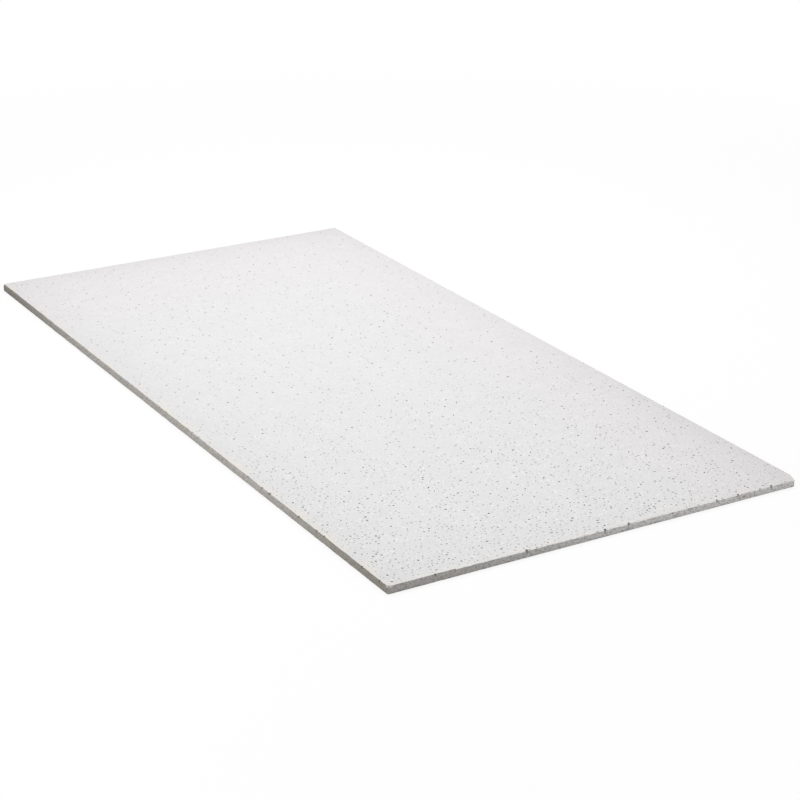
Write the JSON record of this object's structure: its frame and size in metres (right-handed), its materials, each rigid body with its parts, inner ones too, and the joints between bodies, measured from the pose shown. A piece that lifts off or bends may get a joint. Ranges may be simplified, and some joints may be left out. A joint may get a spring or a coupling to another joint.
{
  "type": "suspended ceiling tile",
  "caption": "Rectangular lay-in ceiling tile of mineral fibre with a white fissured and pin-punched face, plain back and square-cut bare edges; absorbs sound in a suspended ceiling grid.",
  "frame": {"origin": "centre of the back face, which lies on the floor", "axes": "+Z out of the painted face, +Y along the long side, +X along the short side"},
  "size_m": [0.603, 1.212, 0.01],
  "materials": {
    "painted_fibre": "matte"
  },
  "bodies": {
    "root": {"ceiling_tile": "painted_fibre"}
  },
  "joints": []
}
